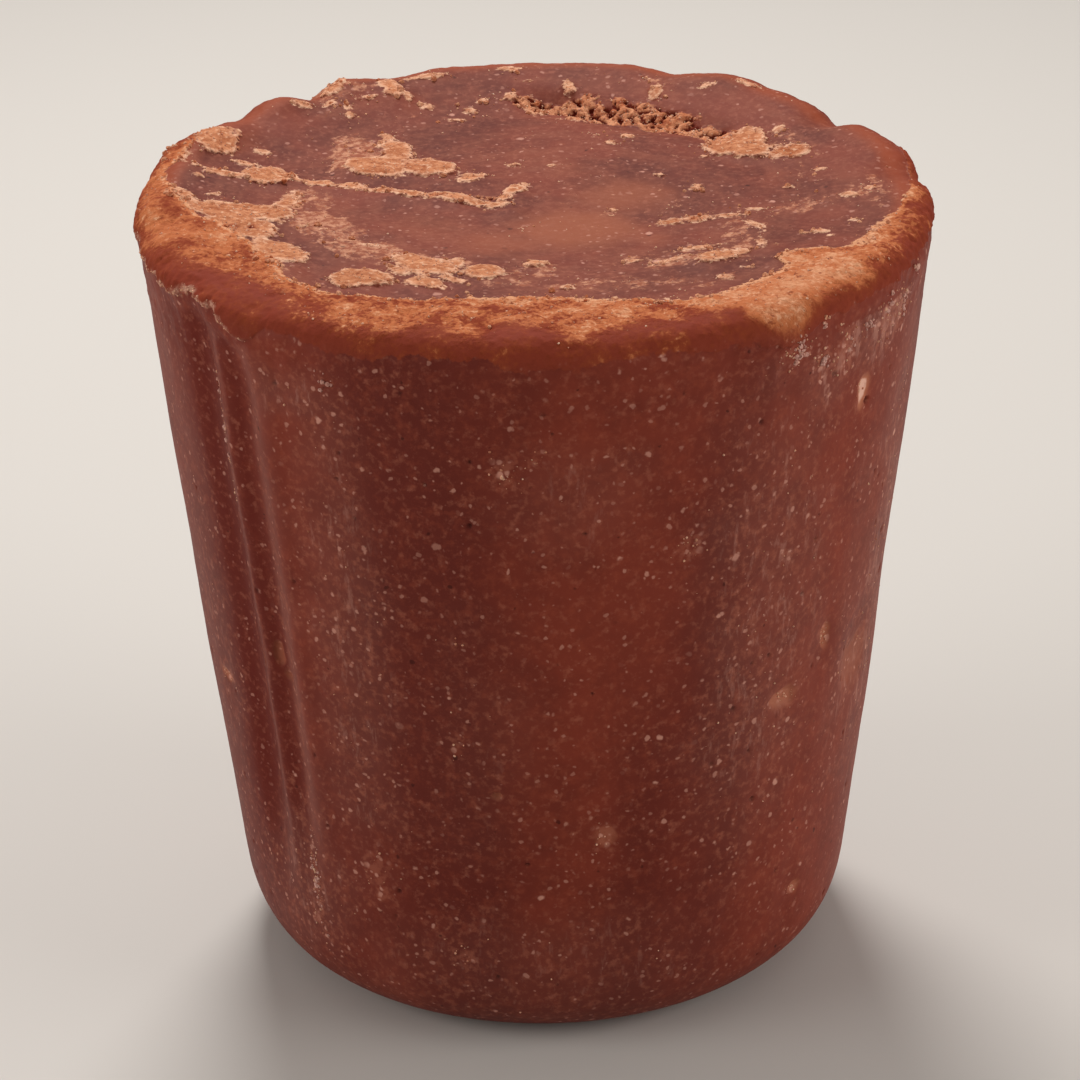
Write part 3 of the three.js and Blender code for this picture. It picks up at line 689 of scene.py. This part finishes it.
# Painted shade in the folds' grooves, then a painted grey sheen on their crests.
wall_colour = sugar.mix((0 - sugar.field("fold_shade_and_sheen")).at_least(0) * 0.8, wall_colour, srgb(98, 30, 20))
wall_colour = sugar.mix(sugar.field("fold_shade_and_sheen").at_least(0) * 0.6, wall_colour, srgb(142, 84, 72))
wall_colour = sugar.mix(sugar.field("scar") * 0.8, wall_colour, srgb(202, 128, 96))
wall_colour = sugar.mix(sugar.step(sugar.field("scar"), 0.75, 1), wall_colour, srgb(228, 176, 154))
# Painted shade: the pits and the scars' holes are painted near-black as well as dented.
wall_colour = sugar.mix(sugar.field("pit") * 0.8, wall_colour, srgb(62, 24, 20))

# The poured face: purple-brown with a milky middle and streaks that go round with the pour.
swirl = sugar.field("swirl", "Vector")
film = sugar.field("film")
streak = sugar.step(sugar.grain(2.4, 3, 0.6, swirl, 1), 0.4, 0.7)
face_tone = sugar.step(sugar.grain(11, 3, 0.55), 0.3, 0.7)
face_colour = sugar.mix(face_tone, srgb(100, 46, 36), srgb(128, 60, 44))
face_colour = sugar.mix(sugar.field("milk") * 0.8, face_colour, srgb(158, 86, 58))
face_colour = sugar.mix(streak * 0.3, face_colour, srgb(152, 86, 64))
face_speckle = sugar.step(sugar.grain(0.9, 3, 0.6), 0.45, 0.7)
face_colour = sugar.mix(face_speckle * 0.25, face_colour, srgb(162, 98, 76))
face_colour = sugar.mix(sugar.field("glow") * 0.85, face_colour, srgb(160, 76, 44))
flaky = sugar.grain(2.6, 4, 0.7, swirl, 1) * 0.5 + sugar.grain(1.6, 4, 0.7) * 0.5
film_mask = sugar.step(flaky + film * 0.28 - 0.62, -0.02, 0.07)
film_grain = sugar.step(sugar.grain(1.1, 4, 0.7), 0.4, 0.62)
film_colour = sugar.mix(film_grain, srgb(158, 86, 58), srgb(216, 152, 118))
face_colour = sugar.mix(film * 0.35, face_colour, srgb(148, 82, 58))
face_colour = sugar.mix(film_mask * 0.75, face_colour, film_colour)
body = sugar.mix(face_mask, wall_colour, face_colour)

# Undissolved grain shows through the skin as pale specks. Open bubbles show as dark specks of
# painted shade, though the mesh has no hollows there.
bend_inputs = {"Vector": sugar.place, "Scale": 900, "Detail": 2}
bends = sugar.node("ShaderNodeTexNoise", {}, bend_inputs, "Color")
bent = sugar.node(
    "ShaderNodeVectorMath", {"operation": "MULTIPLY_ADD"},
    {0: bends, 1: mm(0.9, 0.9, 0.9), 2: sugar.place}, "Vector",
)
crumb = sugar.field("crumb")
cloudy = sugar.step(sugar.grain(9, 3, 0.6) + dust * 0.25, 0.35, 0.75)
powder = sugar.step(sugar.grain(1, 3, 0.6) + dust * 0.05 + crumb * 0.14, 0.5, 0.75)
streaky = sugar.step(sugar.grain(1.3, 4, 0.7, sugar.stretched(1, 1, 0.3)) + dust * 0.12, 0.6, 0.75)
body = sugar.mix(dust * (1 - face_mask) * 0.22, body, srgb(136, 98, 88))
body = sugar.mix(powder * (0.26 + cloudy * 0.22), body, srgb(170, 100, 78))
body = sugar.mix(streaky * dust * 0.4, body, srgb(196, 140, 122))
dots = sugar.specks(1.1, 0.34, 0.7, bent) * (0.25 + cloudy * 0.35)
big_dots = sugar.specks(2.3, 0.46, 0.6, bent) * (0.35 + cloudy * 0.35)
spots = sugar.specks(5.2, 0.6, 0.5, bent) * 0.8
crumbs = sugar.specks(1.3, 0.6, 1, bent) * crumb * 0.85
pale_specks = dots.at_least(big_dots).at_least(spots).at_least(crumbs)
body = sugar.mix(pale_specks, body, srgb(208, 148, 128))
# Painted shade: dark specks where open bubbles would hold shadow.
bubble_shade = sugar.specks(2.6, 0.36, 0.45, bent) * 0.65
body = sugar.mix(bubble_shade, body, srgb(58, 22, 18))

# The froth: from deep red where it stayed thin, through orange-brown, to pale peach on top,
# darkening outwards and down the wall. Its inner edge is paler still, partly its own colour and
# partly a painted highlight where the raised edge catches the light. It is cloudy at a few
# millimetres and grainy below one.
mottle = sugar.step(sugar.grain(1, 3, 0.6), 0.4, 0.62)
# The crust's inner edge: its own paler froth and a painted highlight on the raised edge.
pale_lit_inner_edge = (1 - sugar.step(sugar.field("crust"), 0.4, 1.6)) * (1 - sugar.step(reach, 46, 51))
clouds = (sugar.grain(4.2, 2, 0.5) - 0.5) * 1.7 + (sugar.grain(0.7, 3, 0.6) - 0.5) * 1.3
clouds = clouds + sugar.field("proud") * 0.15
paleness = sugar.field("pale") + clouds * sugar.field("roughness")
paleness = paleness + pale_lit_inner_edge * (0.2 + mottle * 0.45)
crust_colour = sugar.mix(sugar.step(paleness, -0.1, 0.4), srgb(133, 54, 36), srgb(142, 62, 36))
crust_colour = sugar.mix(sugar.step(paleness, 0.3, 0.7), crust_colour, srgb(190, 108, 66))
crust_colour = sugar.mix(sugar.step(paleness, 0.7, 1.15), crust_colour, srgb(218, 154, 114))
glints = sugar.step(sugar.grain(0.8, 3, 0.6), 0.55, 0.68) * 0.65
# Painted shade: dark specks for the shadow in the froth's pores, on the crust and on the plates.
pore_shade = sugar.step(sugar.grain(0.9, 3, 0.6), 0.58, 0.68) * 0.65
crust_colour = sugar.mix(glints * sugar.step(paleness, 0.4, 0.9), crust_colour, srgb(232, 172, 134))
crust_colour = sugar.mix(pore_shade, crust_colour, srgb(124, 50, 28))
crust_colour = sugar.mix(sugar.step(reach, 52, 57), crust_colour, body)
colour = sugar.mix(crust_mask, body, crust_colour)
plate_edge = 1 - sugar.step(sugar.field("plate"), 0.1, 1.1)
plate_grade = mottle * 0.5 + sugar.field("tone") * 0.5 + clouds * 0.3
plate_colour = sugar.mix(plate_grade, srgb(158, 84, 50), srgb(212, 142, 102))
# Painted highlight: the plates' raised edges are painted paler, as where they catch the light.
plate_colour = sugar.mix(plate_edge * (0.3 + mottle * 0.6), plate_colour, srgb(234, 182, 150))
plate_colour = sugar.mix(glints, plate_colour, srgb(238, 188, 154))
# Painted shade in the plates' pores.
plate_colour = sugar.mix(pore_shade, plate_colour, srgb(138, 68, 42))
colour = sugar.mix(plate_mask * (1 - crust_mask), colour, plate_colour)
torn_colour = sugar.mix(clouds + 0.55, srgb(172, 84, 46), srgb(226, 160, 120))
torn_shadows = sugar.step(sugar.grain(0.8, 3, 0.6), 0.5, 0.6) * 0.6
torn_colour = sugar.mix(torn_shadows, torn_colour, srgb(122, 46, 26))
# Painted shade: the torn patch's gaps are painted dark red-brown over their real hollows.
torn_colour = sugar.mix(sugar.step(hollow + fine * 0.6, 0.1, 0.7), torn_colour, srgb(108, 36, 22))
colour = sugar.mix(tear_mask, colour, torn_colour)
colour = sugar.mix(sugar.field("lip") * (0.15 + mottle * 0.6), colour, srgb(214, 162, 138))

# How rough and bumpy each place is. These masks read the fields alone, without any noise, because
# the bumps are worked out three times for every point of the render.
crusted = sugar.step(sugar.field("crust"), -0.1, 0.2)
plated = sugar.step(sugar.field("plate"), -0.1, 0.3)
frothy = (crusted * sugar.step(sugar.field("pale"), 0, 0.5)).at_least(plated)
frothy = frothy.at_least(sugar.step(sugar.field("tear"), -0.3, 0.3))
rough = (0.52 + face_mask * 0.1).at_least(crusted * 0.75).at_least(frothy * 0.85)
bumps = sugar.grain(0.5, 3, 0.65) * (0.12 + frothy * 0.7)
bumps = bumps + sugar.grain(1, 3, 0.6) * (crusted * 0.5 + frothy * 0.7)
block.data.materials.clear()
block.data.materials.append(sugar.finish(
    Base_Color=colour, Roughness=rough, Normal=sugar.bump(bumps, 0.3, 0.6), IOR=1.36,
    Specular_IOR_Level=0.12,
))
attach(block, "root")
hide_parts("jaggery_block")


# ---- Loose grains -------------------------------------------------------------------------------
# Sugar crystals that the froth shed as it dried. They lie thick on the crust's pale edge, the
# plates and the torn patch, and some stick to the wall. One is shaped and then strewn, half sunk.
def strewn_places(piece, share, count, dice):
    """Random places on the piece, as thick as share says at its points."""
    mesh = piece.data
    mesh.calc_loop_triangles()
    corners = np.empty(len(mesh.loop_triangles) * 3, int)
    mesh.loop_triangles.foreach_get("vertices", corners)
    corners = corners.reshape(-1, 3)
    a, b, c = (read_vertices(mesh, "co")[corners[:, i]] * 1000 for i in range(3))
    area = np.linalg.norm(np.cross(b - a, c - a), axis=1)
    chance = area * share[corners].mean(axis=1)
    picked = dice.choice(len(area), count, p=chance / chance.sum())
    u, v = dice.random((2, count, 1))
    u, v = np.where(u + v > 1, 1 - u, u), np.where(u + v > 1, 1 - v, v)
    return a[picked] + u * (b - a)[picked] + v * (c - a)[picked]


def strewn_in_marks(piece, marks, growth, dice):
    """Random places in oval marks in the wall, grown by this much, thickest in their middles."""
    surface = read_vertices(piece.data, "co") * 1000
    radius = np.hypot(surface[:, 0], surface[:, 1])
    angle = np.degrees(np.arctan2(surface[:, 0], -surface[:, 1]))
    groups = []
    for at, height, width, tall, count in marks:
        size = (width * growth, tall * growth)
        out = wall_out(angle, surface[:, 2], radius, at, height, size)
        near = np.where(radius > WALL_RADIUS, np.clip(1 - out, 0, 1), 0)
        groups.append(strewn_places(piece, near, count, dice))
    return np.concatenate(groups)


def point_field(piece, name):
    """The values that the piece keeps under this name at its points."""
    values = np.empty(len(piece.data.vertices))
    piece.data.attributes[name].data.foreach_get("value", values)
    return values


def turned_at_random(count, dice):
    """Random rotations, as 3 x 3 matrices."""
    w, x, y, z = dice.normal(size=(count, 4)).T
    size = w * w + x * x + y * y + z * z
    rows = [
        [size - 2 * (y * y + z * z), 2 * (x * y - z * w), 2 * (x * z + y * w)],
        [2 * (x * y + z * w), size - 2 * (x * x + z * z), 2 * (y * z - x * w)],
        [2 * (x * z - y * w), 2 * (y * z + x * w), size - 2 * (x * x + y * y)],
    ]
    return np.array([[cell / size for cell in row] for row in rows]).transpose(2, 0, 1)


def joined_copies(name, pattern, frames, places, shades):
    """One mesh of copies of the pattern's mesh, each turned and scaled by its own 3 x 3 frame."""
    shape = read_vertices(pattern.data, "co")
    faces = np.array([face.vertices for face in pattern.data.polygons])
    bpy.data.objects.remove(pattern)
    copies = np.einsum("nij,vj->nvi", frames, shape) + places[:, None]
    starts = np.arange(len(places))[:, None, None] * len(shape)
    mesh = bpy.data.meshes.new(name)
    vertices = (copies.reshape(-1, 3) / 1000).tolist()
    mesh.from_pydata(vertices, [], (faces + starts).reshape(-1, 3).tolist())
    shade = mesh.attributes.new("shade", "FLOAT", "POINT")
    shade.data.foreach_set("value", np.repeat(shades, len(shape)))
    piece = bpy.data.objects.new(name, mesh)
    bpy.context.collection.objects.link(piece)
    return piece


def strewn_lumps(name, places, sizes, stretch, subdivisions, knobs, dice):
    """One piece of copies of a knobbly ball, each with its own stretch and turn, all of which stay
    inside the solid's box. The knobs reach so far from the ball's middle."""
    margin = sizes[:, None] * LUMP_MARGIN
    places = np.clip(places, box[0] + margin, box[1] - margin)
    scales = sizes[:, None] * dice.uniform(*stretch, (len(places), 3))
    frames = turned_at_random(len(places), dice) * scales[:, None]
    bpy.ops.object.select_all(action="DESELECT")
    bpy.ops.mesh.primitive_ico_sphere_add(subdivisions=subdivisions, radius=1)
    ball = bpy.context.object
    for vertex in ball.data.vertices:
        vertex.co *= dice.uniform(*knobs)
    return joined_copies(name, ball, frames, places, dice.random(len(places)))


GRAIN_SEED = 5
TOP_GRAINS = 3600
WALL_GRAINS = 400
GRAIN_RADIUS = (0.06, 0.2)
CLUSTER_GROWTH = 1.3  # the loose grains lie this much wider than the cluster in the skin
CLUSTER_GRAIN_SCALE = 1.25
LUMP_MARGIN = 1.3  # what a lump keeps free around its middle, as a share of its radius
WALL_RADIUS = 30  # what lies nearer to the block's middle line is no wall

dice = np.random.default_rng(GRAIN_SEED)
crust_depth = point_field(block, "crust")
plate_depth = point_field(block, "plate")
inside = point_field(block, "reach") < 48
crust_edge = inside * smooth(crust_depth, -0.6, 0.2) * (1 - smooth(crust_depth, 0.8, 2))
plate_edge = smooth(plate_depth, -0.6, 0) * (1 - smooth(plate_depth, 0.3, 1))
torn_share = smooth(point_field(block, "tear"), -0.4, 0.4)
froth = 0.12 * smooth(crust_depth, -0.2, 0.4) * point_field(block, "pale") + 0.4 * crust_edge
froth = np.maximum(froth, 0.25 * smooth(plate_depth, -0.5, 0.3) + 0.15 * plate_edge)
froth = np.maximum(froth, 0.25 * point_field(block, "film") + torn_share) + 0.008 * inside
froth += 2 * point_field(block, "lip")
on_top = strewn_places(block, froth, TOP_GRAINS, dice)
on_wall = strewn_places(block, 0.001 + point_field(block, "dust") ** 2, WALL_GRAINS, dice)
clustered = strewn_in_marks(block, GRAIN_CLUSTERS, CLUSTER_GROWTH, dice)
places = np.concatenate([on_top, on_wall, clustered])
sizes = mostly_small(GRAIN_RADIUS, 2, len(places), dice)
sizes[-len(clustered):] *= CLUSTER_GRAIN_SCALE
grains = strewn_lumps("loose_grains", places, sizes, (0.7, 1.15), 1, (0.8, 1.15), dice)

crystal = Finish("sugar_crystal")
crystal_colour = crystal.mix(crystal.field("shade"), srgb(168, 100, 70), srgb(226, 174, 142))
grains.data.materials.append(crystal.finish(
    Base_Color=crystal_colour, Roughness=0.5, IOR=1.45, Subsurface_Weight=0.3,
    Subsurface_Radius=(1, 0.5, 0.3), Subsurface_Scale=mm(0.4),
))
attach(grains, "root")
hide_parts("jaggery_block")


# ---- Froth crumbs -------------------------------------------------------------------------------
# Lumps of dried froth, up to about 1.4 mm across. They edge the crust and the plates, lie in the
# torn patch, and hang in clumps on the wall, most of them under the crust on the right.
CRUMB_SEED = 8
CRUMB_COUNT = 560
CRUMB_RADIUS = (0.15, 0.55)
# Clumps on the wall: angle, height, width, height of the clump, how many crumbs.
CLUMPS = [
    (38, 99.6, 3.8, 4.4, 30), (43.5, 96, 2.4, 3, 9), (49.5, 97, 2, 3, 8), (53.5, 98.5, 3.4, 2.4, 12),
    (43, 102, 2, 2.4, 7), (58.5, 99.8, 2.6, 4, 12), (65, 98, 3, 6, 14), (69, 102, 3, 4, 10),
    (-44.5, 20.5, 1.1, 17, 26), (-51.2, 86, 0.8, 20, 12), (-30, 98, 5, 3, 10),
]
CLUMP_CRUMB_SCALE = 0.85

dice = np.random.default_rng(CRUMB_SEED)
share = 0.8 * crust_edge + 0.4 * plate_edge + 0.15 * torn_share + 0.05 * point_field(block, "film")
on_top = strewn_places(block, share, CRUMB_COUNT, dice)
clumped = strewn_in_marks(block, CLUMPS, 1, dice)
places = np.concatenate([on_top, clumped])
sizes = mostly_small(CRUMB_RADIUS, 2, len(places), dice)
sizes[-len(clumped):] *= CLUMP_CRUMB_SCALE
crumb_pieces = strewn_lumps("froth_crumbs", places, sizes, (0.6, 1.1), 2, (0.65, 1.2), dice)

dried = Finish("dried_froth")
dried_grain = dried.step(dried.grain(0.6, 3, 0.6), 0.4, 0.65)
dried_shade = dried.field("shade") * 0.6 + dried_grain * 0.4
dried_colour = dried.mix(dried_shade, srgb(178, 98, 62), srgb(232, 176, 140))
on_wall_colour = dried.mix(dried_shade, srgb(186, 130, 114), srgb(216, 170, 156))
dried_height = dried.node("ShaderNodeSeparateXYZ", {}, {"Vector": dried.place}, "Z")
dried_colour = dried.mix(dried.step(dried_height, mm(101), mm(103)), on_wall_colour, dried_colour)
crumb_pieces.data.materials.append(dried.finish(
    Base_Color=dried_colour, Roughness=0.85, IOR=1.36, Specular_IOR_Level=0.12,
    Normal=dried.bump(dried_grain, 0.15, 0.5),
))
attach(crumb_pieces, "root")
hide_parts("jaggery_block")


# ---- Table and lights ---------------------------------------------------------------------------
# A plain pale table top, a wide soft light above and behind the block, and one at either side.
# A dim, slightly warm room lightens the shadows.
bpy.ops.object.select_all(action="DESELECT")
bpy.ops.mesh.primitive_plane_add(size=mm(3000))
table_top = bpy.context.object
table_top.name = "table_top"
paint = Finish("pale_table")
table_top.data.materials.append(paint.finish(Base_Color=srgb(205, 198, 190), Roughness=0.7))


def soft_light(name, place, target, size, power):
    """A round lamp of this size at this place that shines at the target, with its power in watts."""
    way = Vector(target) - Vector(place)
    turn = way.to_track_quat("-Z", "Y").to_euler()
    bpy.ops.object.light_add(type="AREA", location=place, rotation=turn)
    light = bpy.context.object
    light.name = name
    light.data.shape = "DISK"
    light.data.size = size
    light.data.energy = power


soft_light("overhead_light", mm(-60, 400, 620), mm(0, 0, 90), mm(250), 3.9)
soft_light("left_light", mm(-680, -240, 300), mm(0, 0, 50), mm(500), 2.1)
soft_light("right_light", mm(680, -240, 300), mm(0, 0, 50), mm(500), 2.3)
room_world = bpy.data.worlds.new("room")
bpy.context.scene.world = room_world
room_world.use_nodes = True
background = room_world.node_tree.nodes["Background"]
background.inputs["Color"].default_value = (1, 0.98, 0.96, 1)
background.inputs["Strength"].default_value = 0.3
bpy.context.scene.view_settings.view_transform = "Standard"
